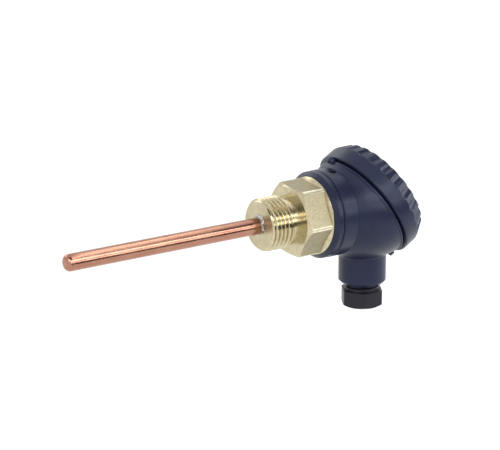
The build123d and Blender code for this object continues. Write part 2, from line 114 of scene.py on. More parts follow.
# Copper tube and the solder round it
TUBE_R = 3.3
TUBE_WALL = 0.55
TUBE_NOSE = 2.0
TUBE_POLE_R = 0.4
TUBE_ROWS = 24
TIP_X = HEX_X - 100.0
SOLDER_WIDTH = 1.0
SOLDER_HEIGHT = 1.0
SOLDER_ROOT = 0.3
SOLDER_BORE_R = TUBE_R - 0.1
SOLDER_SUNK_X = FACE_X + 0.1
SOLDER_PROFILE = ((0.2, 0.86), (0.45, 0.62), (0.72, 0.36), (SOLDER_WIDTH, 0.03), (SOLDER_WIDTH, -SOLDER_ROOT))

# Lid
LID_TILT = 31.0
MOUTH = Vector((49.3, 0.0, 0.4))
LID_R = 24.1
LID_BORE_R = 21.9
LID_SKIRT = 6.2
LID_SHOULDER_R = 21.6
LID_SHOULDER = 10.9
LID_HEIGHT = 11.7
LID_ROOF = 9.4
GASKET_TOP = 6.4
GASKET_BORE_R = 19.65
LID_EDGE = 0.6
LID_POLE_R = 2.0
SKIRT_LOW = 2.5
SKIRT_HIGH = 4.3
SKIRT_ROW = 0.2
SKIRT_ROWS = 8
LID_SHOULDER_ROWS = 22
CROWN_EDGE = 0.9
CROWN_EDGE_SINK = 0.2
CROWN_DOME = 0.6
CROWN_RINGS = (20.4, 20.0, 19.6, 19.2, 18.8, 18.4, 17, 14, 10, 6, LID_POLE_R)
COLLAR_R = 21.3
COLLAR_THREAD = (0.7, 4.5)
COLLAR_PITCH = 2.5
RIDGE_HEIGHT = 0.42
RIDGE_ROOT = 0.2
RIDGE_TOP_R = COLLAR_R + RIDGE_HEIGHT
RIDGE_PROFILE = (
    (COLLAR_R - RIDGE_ROOT, 0.75), (COLLAR_R, 0.65), (RIDGE_TOP_R - 0.1, 0.32), (RIDGE_TOP_R, 0.2),
)
SCALLOPS = 24
SCALLOP_R = 2.5
SCALLOP_DEPTH = 1.5
SCALLOP_FOOT = 1.45
SCALLOP_SOFTNESS = 0.08
SCALLOP_LOWEST = 4.0
SCALLOP_INNERMOST = 17.0
SCALLOP_INSIDE_TOP = LID_ROOF + 0.1

# Pressure screw of the cable gland
GLAND_X = 49.5
SCREW_R = 7.1
SCREW_TOP = -25.72
SCREW_HEX_TOP = -34.7
SCREW_HEX_HEIGHT = 6.8
SCREW_FLATS = 15.5
SCREW_FACE_R = 7.1
SCREW_BORE_R = 3.6
SCREW_PITCH = 1.5
SCREW_GROOVE = 0.65
SCREW_ROOT = 0.3
SCREW_CREST = 0.35
SCREW_ROUND = 0.08
SCREW_TOP_EDGE = 0.4
SCREW_SUNK = 1.0
SCREW_PLAIN = 1.0
SCREW_TURNS_AFTER = 2
SCREW_HEX_EDGE = 0.5
SCREW_MOUTH_EDGE = 0.5

# The photograph's view
VIEW_AZIMUTH = -34.5
VIEW_ELEVATION = 16.5
VIEW_DISTANCE = 0.85
VIEW_LENS = 158.2
SENSOR_WIDTH = 36
FOCAL_PIXELS = 2197.0
PIXELS_PER_METRE = FOCAL_PIXELS / VIEW_DISTANCE
PHOTO_CENTRE = (250.0, 225.0)
FRONT_PIXEL = (258.9, 225.6)

# Studio, in metres
CENTRE = Vector((0.01, 0.0, 0.0))
FLOOR_DROP = 0.06
FLOOR_GLOW = 0.7
WORLD_LIGHT = 0.45

# Lamps: name, place from the centre, width, height and power
LAMPS = (
    ("lamp_top", (0.40, -0.08, 0.88), 1.2, 0.09, 1.1),
    ("lamp_right_high", (0.15, -0.935, 0.62), 2.0, 0.23, 6.7),
    ("lamp_right_low", (0.15, -1.05, 0.19), 2.0, 0.19, 3.5),
    ("lamp_end", (0.95, -0.22, 0.24), 0.25, 0.4, 1.3),
    ("lamp_left", (-0.95, -0.45, 0.75), 0.7, 0.7, 3.4),
    ("lamp_back", (-0.2, 1.0, 0.55), 0.9, 0.5, 2.0),
)

# Dark cards: name, place from the centre, width and height
CARDS = (
    ("card_high", (0.10, -0.0545, 0.107), 0.14, 0.073),
    ("card_front", (-0.10, -0.0545, 0.107), 0.14, 0.073),
    ("card_low", (0.05, -0.34, -0.035), 0.8, 0.115),
)

COS_30 = math.cos(math.radians(30))
AZIMUTH = math.radians(VIEW_AZIMUTH)
ELEVATION = math.radians(VIEW_ELEVATION)
BACK = Vector((
    math.sin(AZIMUTH) * math.cos(ELEVATION), -math.cos(AZIMUTH) * math.cos(ELEVATION), math.sin(ELEVATION)
))
RIGHT = Vector((math.cos(AZIMUTH), math.sin(AZIMUTH), 0))
UP = BACK.cross(RIGHT)
AXIS_FRAME = Matrix(((0, 0, 1, 0), (-1, 0, 0, 0), (0, -1, 0, 0), (0, 0, 0, 1)))
TILT = math.radians(LID_TILT)
LID_FRAME = Matrix((
    (0, math.sin(TILT), math.cos(TILT), MOUTH.x * MM),
    (-1, 0, 0, MOUTH.y * MM),
    (0, -math.cos(TILT), math.sin(TILT), MOUTH.z * MM),
    (0, 0, 0, 1),
))
GLAND_FRAME = Matrix.Translation((GLAND_X * MM, 0, 0))


def deselect_all():
    """Leaves edit mode and clears the selection."""
    if bpy.context.object and bpy.context.object.mode != "OBJECT":
        bpy.ops.object.mode_set(mode="OBJECT")
    bpy.ops.object.select_all(action="DESELECT")


def pick(piece):
    """Makes a piece the only selected one."""
    deselect_all()
    piece.select_set(True)
    bpy.context.view_layer.objects.active = piece


def arc(centre, radius, start, end, points):
    """Outline points on a circle, between two angles in degrees."""
    turn = [math.radians(start + (end - start) * i / (points - 1)) for i in range(points)]
    return [(centre[0] + radius * math.cos(a), centre[1] + radius * math.sin(a)) for a in turn]


def turned(name, outline, steps, loop=False):
    """A turned piece about Z: a circle extruded from one (radius, height) of its outline to the next."""
    deselect_all()
    radius, height = outline[0]
    bpy.ops.mesh.primitive_circle_add(
        vertices=steps, radius=radius, location=(0, 0, height), fill_type="NOTHING" if loop else "NGON"
    )
    piece = bpy.context.object
    piece.name = name
    bpy.ops.object.transform_apply(location=True)
    bpy.ops.object.mode_set(mode="EDIT")
    bpy.ops.mesh.select_mode(type="EDGE")
    # The first disc stays as the closed end, and the ring that is extruded is a copy of its rim.
    if not loop:
        bpy.ops.mesh.duplicate()
        bpy.ops.mesh.delete(type="ONLY_FACE")
        bpy.ops.mesh.select_all(action="DESELECT")
        bpy.ops.mesh.select_non_manifold()
        ring = bmesh.from_edit_mesh(piece.data)
        ring.edges.ensure_lookup_table()
        for edge in ring.edges:
            edge.select_set(not edge.link_faces)
        bmesh.update_edit_mesh(piece.data)
    else:
        bpy.ops.mesh.select_all(action="SELECT")
    for next_radius, next_height in outline[1:]:
        bpy.ops.mesh.extrude_region_move(TRANSFORM_OT_translate={"value": (0, 0, next_height - height)})
        scale = next_radius / radius
        bpy.ops.transform.resize(value=(scale, scale, 1), center_override=(0, 0, next_height))
        radius, height = next_radius, next_height
    if not loop:
        bpy.ops.mesh.edge_face_add()
    bpy.ops.mesh.select_all(action="SELECT")
    bpy.ops.mesh.remove_doubles(threshold=WELD)
    bpy.ops.mesh.normals_make_consistent(inside=False)
    bpy.ops.object.mode_set(mode="OBJECT")
    return piece


def modify(piece, kind, **settings):
    """Adds a modifier with its settings and applies it."""
    pick(piece)
    modifier = piece.modifiers.new(kind.lower(), kind)
    for key, value in settings.items():
        setattr(modifier, key, value)
    bpy.ops.object.modifier_apply(modifier=modifier.name)


def combine(piece, other, operation):
    """Joins, cuts or trims a piece with another, which is then removed."""
    modify(piece, "BOOLEAN", operation=operation, object=other, solver="EXACT")
    bpy.data.objects.remove(other)


def heal(piece):
    """Merges the points that cuts leave closer together than a hair, and closes what that opens."""
    pick(piece)
    bpy.ops.object.mode_set(mode="EDIT")
    bpy.ops.mesh.select_all(action="SELECT")
    bpy.ops.mesh.remove_doubles(threshold=HAIR)
    bpy.ops.mesh.dissolve_degenerate(threshold=SLIVER)
    bpy.ops.mesh.fill_holes(sides=8)
    bpy.ops.mesh.quads_convert_to_tris()
    bpy.ops.mesh.normals_make_consistent(inside=False)
    bpy.ops.object.mode_set(mode="OBJECT")
    return piece


def wound(name, section, first, last, pitch, steps):
    """A section of (radius, height) points wound round Z from one height to another, open at its ends."""
    deselect_all()
    bpy.ops.mesh.primitive_circle_add(vertices=len(section), radius=1, fill_type="NOTHING")
    coil = bpy.context.object
    coil.name = name
    for vertex, (radius, height) in zip(coil.data.vertices, section):
        vertex.co = (radius, 0, height + first)
    turns = (last - first) / pitch
    count = round(steps * turns)
    modify(
        coil, "SCREW", axis="Z", angle=math.tau * turns, screw_offset=pitch * turns, iterations=1,
        steps=count, render_steps=count, use_merge_vertices=False, use_smooth_shade=False,
    )
    return coil


def close_ends(coil, section):
    """Closes both ends of a wound section and turns its faces outwards."""
    bpy.ops.object.mode_set(mode="EDIT")
    bpy.ops.mesh.select_all(action="SELECT")
    bpy.ops.mesh.fill_holes(sides=len(section))
    bpy.ops.mesh.normals_make_consistent(inside=False)
    bpy.ops.object.mode_set(mode="OBJECT")
    return coil


def helical_cutter(name, radius, depth, root, opening, pitch, first, last, rounding, steps, fade):
    """A V-shaped bar wound round Z, which cuts a groove with rounded crests and leaves it at its end."""
    half = opening / 2
    side = [
        (radius - depth, root / 2), (radius - rounding, half - rounding / 2), (radius - rounding / 3, half),
        (radius, half + rounding / 2), (radius + CUTTER_OVER, half + rounding / 2),
    ]
    section = [(r, -h) for r, h in reversed(side)] + side
    cutter = wound(name, section, first, last, pitch, steps)
    for vertex in cutter.data.vertices:
        x, y, h = vertex.co
        angle = math.atan2(y, x)
        height = first + pitch * (angle / math.tau + round((h - first) / pitch - angle / math.tau))
        left = (last - height) / pitch
        if fade and left < fade:
            share = 1 - left / fade
            scale = (math.hypot(x, y) + (depth + CUTTER_OVER) * share * share) / math.hypot(x, y)
            vertex.co = (x * scale, y * scale, h)
    return close_ends(cutter, section)


def hexagon(name, flats, low, high, turn, edge):
    """A hexagonal bar about Z with rounded long edges."""
    deselect_all()
    bpy.ops.mesh.primitive_cylinder_add(
        vertices=6, radius=flats / 2 / COS_30, depth=high - low, location=(0, 0, (low + high) / 2)
    )
    bar = bpy.context.object
    bar.name = name
    bar.rotation_euler.z = math.radians(turn + 30)
    bpy.ops.object.transform_apply(location=True, rotation=True)
    bpy.ops.object.mode_set(mode="EDIT")
    bpy.ops.mesh.select_mode(type="EDGE")
    bpy.ops.mesh.select_all(action="DESELECT")
    bar_mesh = bmesh.from_edit_mesh(bar.data)
    for side in bar_mesh.edges:
        ends = [v.co.z for v in side.verts]
        side.select_set(abs(ends[0] - ends[1]) > (high - low) / 2)
    bmesh.update_edit_mesh(bar.data)
    bpy.ops.mesh.bevel(offset=edge, segments=4, affect="EDGES")
    bpy.ops.object.mode_set(mode="OBJECT")
    return bar


def settle(piece, where, body, angle=30.0):
    """Scales a finished piece to metres, sets it in its frame, smooths it and hangs it on its body."""
    pick(piece)
    bpy.ops.object.shade_smooth_by_angle(angle=math.radians(angle))
    piece.matrix_world = where @ Matrix.Scale(MM, 4)
    bpy.ops.object.transform_apply(location=True, rotation=True, scale=True)
    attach(piece, body)


# Brass fitting

def make_fitting():
    """Turned brass fitting with a helical thread, a neck, a chamfered hexagon and a round shoulder."""
    runout = THREAD_R - NECK_R
    outline = [
        (CORE_R, FACE_X), (THREAD_R - FRONT_CHAMFER, FACE_X), (THREAD_R, 0), (THREAD_R, THREAD_LENGTH),
        (NECK_R, THREAD_LENGTH + runout), (NECK_R, HIDDEN_X), (SPIGOT_R, HIDDEN_X),
    ]
    for low, high, radius in (SEAL_GROOVE, GRUB_GROOVE):
        outline += [(SPIGOT_R, low), (radius, low), (radius, high), (SPIGOT_R, high)]
    outline += [(SPIGOT_R, SPIGOT_X), (CORE_R, SPIGOT_X)]
    body = turned("fitting", outline, FITTING_STEPS)
    facing = math.degrees(math.atan2(BACK.z, -BACK.y))
    opening = THREAD_PITCH - THREAD_CREST
    groove_x = THREAD_LEAD + opening / 2 + THREAD_PITCH * facing / 360
    groove = helical_cutter(
        "groove", THREAD_R, THREAD_DEPTH, THREAD_ROOT, opening, THREAD_PITCH,
        groove_x - THREAD_TURNS_BEFORE * THREAD_PITCH, groove_x + THREAD_TURNS_AFTER * THREAD_PITCH,
        THREAD_ROUND, THREAD_STEPS, THREAD_FADE,
    )
    combine(body, groove, "DIFFERENCE")
    end = HEX_X + HEX_LENGTH
    bar = hexagon("bar", HEX_FLATS, HEX_X - OVERLAP, end - OVERLAP, HEX_TURN, HEX_EDGE)
    corner = HEX_FLATS / 2 / COS_30
    depth = (corner - HEX_FACE_R) * math.tan(math.radians(HEX_SLOPE))
    lens = turned("lens", [
        (HEX_FACE_R, HEX_X), (corner, HEX_X + depth), (corner, end), (HEX_FACE_R, end),
    ], FITTING_STEPS)
    combine(bar, lens, "INTERSECT")
    combine(body, bar, "UNION")
    foot = end - SHOULDER_T
    rise = SHOULDER_R - HEX_FLATS / 2 + SHOULDER_SINK
    shoulder = turned("shoulder", [
        (SHOULDER_R - rise, foot - SHOULDER_SLOPE), (SHOULDER_R - SHOULDER_EDGE, foot - SHOULDER_EDGE),
        (SHOULDER_R, foot), (SHOULDER_R, end), (HEX_FACE_R, end),
    ], FITTING_STEPS)
    combine(body, shoulder, "UNION")
    bores = turned("bores", [
        (SEAT_R, FACE_X - CLEAR), (SEAT_R, SEAT_DEPTH), (STEM_BORE_R, SEAT_DEPTH), (STEM_BORE_R, REAR_BORE_X),
        (REAR_BORE_R, REAR_BORE_X), (REAR_BORE_R, SPIGOT_X + CLEAR),
    ], BORE_STEPS)
    combine(body, bores, "DIFFERENCE")
    return heal(body)


fitting = make_fitting()
settle(fitting, AXIS_FRAME, "pocket")
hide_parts("pocket_body")


def make_copper_tube():
    """Copper tube with a rounded closed nose."""
    nose_x = TIP_X + TUBE_NOSE
    nose_centre = (TUBE_R - TUBE_NOSE, nose_x)
    outline = [(TUBE_POLE_R, TIP_X)] + arc(nose_centre, TUBE_NOSE, -90, 0, 9)
    outline += [(TUBE_R, nose_x + (SEAT_DEPTH - nose_x) * i / TUBE_ROWS) for i in range(1, TUBE_ROWS + 1)]
    outline += [(TUBE_R - TUBE_WALL, SEAT_DEPTH)] + arc(nose_centre, TUBE_NOSE - TUBE_WALL, 0, -90, 7)
    outline.append((TUBE_POLE_R, TIP_X + TUBE_WALL))
    return turned("copper_tube", outline, TUBE_STEPS)


copper_tube = make_copper_tube()
settle(copper_tube, AXIS_FRAME, "pocket")
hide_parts("immersion_tube")


def solder_swell(angle):
    """How far the solder stands out from an even ring at an angle: one side is fuller, with small waves."""
    swell = 0.42 * math.cos(angle + 1.3) + 0.14 * math.sin(5 * angle + 2.0)
    return swell + 0.06 * math.sin(11 * angle) - 0.24


def make_solder():
    """Uneven ring of solder at the foot of the tube."""
    outline = [(SOLDER_BORE_R, FACE_X + SOLDER_ROOT), (SOLDER_BORE_R, FACE_X - SOLDER_HEIGHT)]
    outline += [(TUBE_R + out, FACE_X - ahead) for out, ahead in SOLDER_PROFILE]
    outline.append((SOLDER_BORE_R, FACE_X + SOLDER_ROOT))
    ring = turned("solder_bead", outline, SOLDER_STEPS, loop=True)
    for vertex in ring.data.vertices:
        x, y, h = vertex.co
        radius = math.hypot(x, y)
        if radius < SOLDER_BORE_R + 0.05 or h > SOLDER_SUNK_X:
            continue
        angle = math.atan2(y, x)
        swell = solder_swell(angle)
        share = (SOLDER_SUNK_X - h) / SOLDER_HEIGHT
        scale = (radius + swell * (1 - 0.6 * share)) / radius
        ripple = 0.6 * swell + 0.08 * math.sin(11 * angle + 1.0)
        vertex.co = (x * scale, y * scale, h - share * ripple)
    return ring


solder = make_solder()
settle(solder, AXIS_FRAME, "pocket", angle=60.0)
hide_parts("solder_ring")


# Lid

def scallop_radius(radius, across, height):
    """The radius that the scallop cutter leaves at a place on the lid, or None where it doesn't reach."""
    rise = LID_SHOULDER - LID_SKIRT
    lean = math.atan2(LID_R - LID_SHOULDER_R, rise)
    reach = SCALLOP_R - SCALLOP_DEPTH
    foot_r = LID_R + reach * math.cos(lean)
    foot_s = LID_SKIRT + SCALLOP_FOOT + reach * math.sin(lean)
    if abs(across) >= SCALLOP_R:
        return None
    above = (height - foot_s) * math.cos(lean) + (foot_r - radius) * math.sin(lean)
    if above >= 0:
        centre = foot_r - (height - foot_s) * math.tan(lean)
        return centre - math.sqrt(SCALLOP_R ** 2 - across ** 2) / math.cos(lean)
    inside = SCALLOP_R ** 2 - across ** 2 - (height - foot_s) ** 2
    return foot_r - math.sqrt(inside) if inside > 0 else None


def soft_least(a, b, softness):
    """The lesser of two values, rounded where they cross."""
    share = min(1.0, max(0.0, 0.5 + 0.5 * (b - a) / softness))
    return b * (1 - share) + a * share - softness * share * (1 - share)


def make_lid():
    """Screwed lid with scallops round its shoulder and soft moulded edges."""
    outline = [
        (LID_POLE_R, LID_ROOF), (GASKET_BORE_R, LID_ROOF), (GASKET_BORE_R, GASKET_TOP),
        (LID_BORE_R, GASKET_TOP), (LID_BORE_R, 0.0),
    ]
    outline += arc((LID_R - LID_EDGE, LID_EDGE), LID_EDGE, -90, 0, 5)
    outline += [(LID_R, SKIRT_LOW), (LID_R, SKIRT_HIGH)]
    outline += [(LID_R, SKIRT_HIGH + SKIRT_ROW * i) for i in range(1, SKIRT_ROWS + 1)]
    for i in range(1, LID_SHOULDER_ROWS):
        share = i / LID_SHOULDER_ROWS
        radius = LID_R + (LID_SHOULDER_R - LID_R) * share
        outline.append((radius, LID_SKIRT + (LID_SHOULDER - LID_SKIRT) * share))
    outline += arc((LID_SHOULDER_R - CROWN_EDGE, LID_SHOULDER - CROWN_EDGE_SINK), CROWN_EDGE, 20, 80, 5)
    outline += [(r, LID_HEIGHT - CROWN_DOME * (r / LID_SHOULDER_R) ** 2) for r in CROWN_RINGS]
    lid = turned("lid_cap_shell", outline, SCALLOPS * SCALLOP_STEPS)
    pitch = math.tau / SCALLOPS
    for vertex in lid.data.vertices:
        x, y, s = vertex.co
        radius = math.hypot(x, y)
        inner_face = radius < LID_BORE_R and s < SCALLOP_INSIDE_TOP
        if s < SCALLOP_LOWEST or radius < SCALLOP_INNERMOST or inner_face:
            continue
        angle = math.atan2(y, x)
        across = ((angle / pitch + 0.5) % 1.0 - 0.5) * pitch * radius
        cut = scallop_radius(radius, across, s)
        if cut is not None:
            scale = soft_least(radius, cut, SCALLOP_SOFTNESS) / radius
            vertex.co = (x * scale, y * scale, s)
    return lid


lid = make_lid()
settle(lid, LID_FRAME, "lid_cap", angle=50.0)
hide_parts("lid")


def make_collar_thread():
    """Rounded screw thread round the collar under the lid."""
    first, last = COLLAR_THREAD
    section = [(r, -h) for r, h in RIDGE_PROFILE] + list(reversed(RIDGE_PROFILE))
    ridge = wound("collar_thread", section, first, last, COLLAR_PITCH, RIDGE_STEPS)
    return close_ends(ridge, section)


collar_thread = make_collar_thread()
settle(collar_thread, LID_FRAME, "head", angle=40.0)


# Pressure screw

def make_pressure_screw():
    """Hollow pressure screw with a threaded shank and a hexagon."""
    low = SCREW_HEX_TOP - SCREW_HEX_HEIGHT
    body = turned("pressure_screw", [
        (CORE_R, SCREW_HEX_TOP - SCREW_SUNK), (SCREW_R, SCREW_HEX_TOP - SCREW_SUNK),
        (SCREW_R, SCREW_TOP - SCREW_TOP_EDGE), (SCREW_R - SCREW_TOP_EDGE, SCREW_TOP), (CORE_R, SCREW_TOP),
    ], SCREW_STEPS)
    groove = helical_cutter(
        "screw_groove", SCREW_R, SCREW_GROOVE, SCREW_ROOT, SCREW_PITCH - SCREW_CREST, SCREW_PITCH,
        SCREW_HEX_TOP + SCREW_PLAIN, SCREW_TOP + SCREW_TURNS_AFTER * SCREW_PITCH,
        SCREW_ROUND, GROOVE_STEPS, 0.0,
    )
    combine(body, groove, "DIFFERENCE")
    bar = hexagon("screw_bar", SCREW_FLATS, low - OVERLAP, SCREW_HEX_TOP, 0.0, SCREW_HEX_EDGE)
    corner = SCREW_FLATS / 2 / COS_30
    depth = (corner - SCREW_FACE_R) * math.tan(math.radians(HEX_SLOPE))
    lens = turned("screw_lens", [
        (SCREW_FACE_R, low), (corner, low + depth), (corner, SCREW_HEX_TOP + OVERLAP),
    ], SCREW_STEPS)
    combine(bar, lens, "INTERSECT")
    combine(body, bar, "UNION")
    bore = turned("screw_bore", [
        (SCREW_BORE_R + SCREW_MOUTH_EDGE, low - CLEAR), (SCREW_BORE_R + SCREW_MOUTH_EDGE, low),
        (SCREW_BORE_R, low + SCREW_MOUTH_EDGE), (SCREW_BORE_R, SCREW_TOP + CLEAR),
    ], BORE_STEPS)
    combine(body, bore, "DIFFERENCE")
    return heal(body)


screw = make_pressure_screw()
settle(screw, GLAND_FRAME, "gland_nut")
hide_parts("gland_screw")


# Materials

def finish_of(name, color, roughness, metallic=0.0, specular=0.5):
    """A new material with one shader, and what its other nodes hang on."""
    material = bpy.data.materials.new(name)
    material.use_nodes = True
    shader = material.node_tree.nodes["Principled BSDF"]
    shader.inputs["Base Color"].default_value = (*color, 1)
    shader.inputs["Metallic"].default_value = metallic
    shader.inputs["Roughness"].default_value = roughness
    shader.inputs["Specular IOR Level"].default_value = specular
    return material, material.node_tree.nodes, material.node_tree.links, shader


def stretched(nodes, links, scale):
    """The piece's own coordinates, stretched along its axes."""
    place = nodes.new("ShaderNodeTexCoord")
    mapping = nodes.new("ShaderNodeMapping")
    mapping.inputs["Scale"].default_value = scale
    links.new(place.outputs["Object"], mapping.inputs["Vector"])
    return mapping.outputs["Vector"]


def grain(nodes, links, vector, size, detail=4.0, rough=0.6):
    """Fractal noise with features of a size in millimetres."""
    noise = nodes.new("ShaderNodeTexNoise")
    noise.inputs["Scale"].default_value = 1 / (size * MM)
    noise.inputs["Detail"].default_value = detail
    noise.inputs["Roughness"].default_value = rough
    links.new(vector, noise.inputs["Vector"])
    return noise.outputs["Fac"]


def ranged(nodes, links, value, low, high):
    """Spreads the middle of a noise's values over a new range."""
    spread = nodes.new("ShaderNodeMapRange")
    spread.inputs["From Min"].default_value = 0.3
    spread.inputs["From Max"].default_value = 0.7
    spread.inputs["To Min"].default_value = low
    spread.inputs["To Max"].default_value = high
    links.new(value, spread.inputs["Value"])
    return spread.outputs["Result"]


def tinted(nodes, links, value, first, second):
    """A colour between two, by a value."""
    ramp = nodes.new("ShaderNodeValToRGB")
    ramp.color_ramp.elements[0].position = 0.35
    ramp.color_ramp.elements[0].color = (*first, 1)
    ramp.color_ramp.elements[1].position = 0.65
    ramp.color_ramp.elements[1].color = (*second, 1)
    links.new(value, ramp.inputs["Fac"])
    return ramp.outputs["Color"]


def mottled(nodes, links, shader, value, first, second):
    """Colours a surface between two shades, by a value."""
    links.new(tinted(nodes, links, value, first, second), shader.inputs["Base Color"])


def polished(nodes, links, shader, value, smoothest, roughest):
    """Varies a surface's roughness, by a value."""
    links.new(ranged(nodes, links, value, smoothest, roughest), shader.inputs["Roughness"])


def raised(nodes, links, shader, height, depth):
    """A bump of a depth in millimetres."""
    bump = nodes.new("ShaderNodeBump")
    bump.inputs["Strength"].default_value = 1.0
    bump.inputs["Distance"].default_value = depth * MM
    links.new(height, bump.inputs["Height"])
    links.new(bump.outputs["Normal"], shader.inputs["Normal"])


def ring_coordinates(nodes, links):
    """The place along the tube's axis and the distance from it, for marks left by turning."""
    place = nodes.new("ShaderNodeTexCoord")
    flatten = nodes.new("ShaderNodeVectorMath")
    flatten.operation = "MULTIPLY"
    flatten.inputs[1].default_value = (0, 1, 1)
    length = nodes.new("ShaderNodeVectorMath")
    length.operation = "LENGTH"
    along = nodes.new("ShaderNodeSeparateXYZ")
    join = nodes.new("ShaderNodeCombineXYZ")
    links.new(place.outputs["Object"], flatten.inputs[0])
    links.new(flatten.outputs["Vector"], length.inputs[0])
    links.new(place.outputs["Object"], along.inputs["Vector"])
    links.new(along.outputs["X"], join.inputs["X"])
    links.new(length.outputs["Value"], join.inputs["Y"])
    return join.outputs["Vector"]


def brushed_round(nodes, links, shader, amount):
    """Spreads reflections across the marks that turning leaves round the tube's axis."""
    tangent = nodes.new("ShaderNodeTangent")
    tangent.direction_type = "RADIAL"
    tangent.axis = "X"
    shader.inputs["Anisotropic"].default_value = amount
    shader.inputs["Anisotropic Rotation"].default_value = 0.25
    links.new(tangent.outputs["Tangent"], shader.inputs["Tangent"])


def brass_turned(name, smoothest, roughest):
    """Bright turned brass with fine rings left by the tool."""
    material, nodes, links, shader = finish_of(name, (0.56, 0.50, 0.33), smoothest, metallic=1.0)
    marks = grain(nodes, links, ring_coordinates(nodes, links), 0.3, detail=3.0)
    haze = grain(nodes, links, stretched(nodes, links, (1, 1, 1)), 2.5)
    mottled(nodes, links, shader, haze, (0.50, 0.43, 0.27), (0.60, 0.54, 0.37))
    polished(nodes, links, shader, marks, smoothest, roughest)
    brushed_round(nodes, links, shader, 0.8)
    raised(nodes, links, shader, marks, 0.012)
    return material


def brass_flats():
    """Satin brass of the hexagon's flats."""
    material, nodes, links, shader = finish_of("brass_flats", (0.37, 0.33, 0.22), 0.46, metallic=1.0)
    fine = grain(nodes, links, stretched(nodes, links, (0.6, 1, 1)), 0.5, detail=6.0, rough=0.7)
    haze = grain(nodes, links, stretched(nodes, links, (0.6, 1, 1)), 3.0)
    mottled(nodes, links, shader, fine, (0.30, 0.26, 0.165), (0.45, 0.41, 0.28))
    polished(nodes, links, shader, haze, 0.42, 0.55)
    raised(nodes, links, shader, fine, 0.04)
    return material


def brass_edges_painted_highlight():
    """Lighter brass along the hexagon's rounded edges: a painted highlight, with a fine grain."""
    # The edge colour is much lighter than the flats' colour: a painted highlight.
    material, nodes, links, shader = finish_of("brass_edges_painted_highlight", (0.80, 0.74, 0.55), 0.34, metallic=1.0)
    fine = grain(nodes, links, stretched(nodes, links, (0.6, 1, 1)), 0.5, detail=6.0, rough=0.7)
    mottled(nodes, links, shader, fine, (0.66, 0.60, 0.43), (0.88, 0.83, 0.64))
    raised(nodes, links, shader, fine, 0.02)
    return material


def copper_drawn():
    """Drawn copper with long fine lines and faint stains."""
    material, nodes, links, shader = finish_of("copper_drawn", (0.42, 0.214, 0.149), 0.2, metallic=1.0)
    lines = grain(nodes, links, stretched(nodes, links, (0.03, 1, 1)), 0.35, detail=3.0)
    stains = grain(nodes, links, stretched(nodes, links, (0.3, 1, 1)), 4.0)
    mottled(nodes, links, shader, stains, (0.38, 0.182, 0.127), (0.46, 0.246, 0.171))
    polished(nodes, links, shader, stains, 0.16, 0.23)
    raised(nodes, links, shader, lines, 0.02)
    return material


def solder_painted_shade_and_highlight():
    """Solder, frozen unevenly, with painted shade in the hollows between its lumps and a painted highlight on
    their tops.
    """
    material, nodes, links, shader = finish_of("solder_painted_shade_and_highlight", (0.5, 0.5, 0.52), 0.12, metallic=1.0)
    lumps = grain(nodes, links, stretched(nodes, links, (1, 1, 1)), 1.9, detail=2.0)
    # The colour follows the lumps' bump, near black in the hollows and pale on the tops: painted shade and
    # painted highlight.
    mottled(nodes, links, shader, lumps, (0.13, 0.115, 0.095), (0.56, 0.54, 0.50))
    polished(nodes, links, shader, lumps, 0.08, 0.26)
    raised(nodes, links, shader, lumps, 1.2)
    return material


def moulded(name, color, roughness, grain_depth=0.012, gloss=(1, 1, 1)):
    """Moulded plastic with a fine grain and slight mottling."""
    material, nodes, links, shader = finish_of(name, color, roughness, specular=0.36)
    shader.inputs["Specular Tint"].default_value = (*gloss, 1)
    fine = grain(nodes, links, stretched(nodes, links, (1, 1, 1)), 0.25, detail=3.0)
    cloud = grain(nodes, links, stretched(nodes, links, (1, 1, 1)), 6.0)
    darker = tuple(c * 0.9 for c in color)
    lighter = tuple(c * 1.12 for c in color)
    mottled(nodes, links, shader, cloud, darker, lighter)
    polished(nodes, links, shader, fine, roughness - 0.05, roughness + 0.08)
    raised(nodes, links, shader, fine, grain_depth)
    return material


def plated_steel():
    """Zinc-plated steel."""
    material, nodes, links, shader = finish_of("plated_steel", (0.66, 0.66, 0.67), 0.28, metallic=1.0)
    cloud = grain(nodes, links, stretched(nodes, links, (1, 1, 1)), 0.8)
    mottled(nodes, links, shader, cloud, (0.58, 0.59, 0.60), (0.72, 0.72, 0.72))
    polished(nodes, links, shader, cloud, 0.2, 0.38)
    raised(nodes, links, shader, cloud, 0.01)
    return material


def black_steel():
    """Blackened steel of the grub screw."""
    material, nodes, links, shader = finish_of("black_steel", (0.06, 0.06, 0.065), 0.4, metallic=1.0)
    cloud = grain(nodes, links, stretched(nodes, links, (1, 1, 1)), 0.6)
    polished(nodes, links, shader, cloud, 0.3, 0.5)
    return material


def woven_sleeve():
    """Woven insulating sleeve."""
    material, nodes, links, shader = finish_of("woven_sleeve", (0.72, 0.70, 0.62), 0.85)
    threads = nodes.new("ShaderNodeTexWave")
    threads.bands_direction = "DIAGONAL"
    threads.inputs["Scale"].default_value = 400
    links.new(stretched(nodes, links, (1, 1, 1)), threads.inputs["Vector"])
    height = threads.outputs["Fac"]
    mottled(nodes, links, shader, height, (0.6, 0.58, 0.5), (0.78, 0.76, 0.7))
    raised(nodes, links, shader, height, 0.1)
    return material


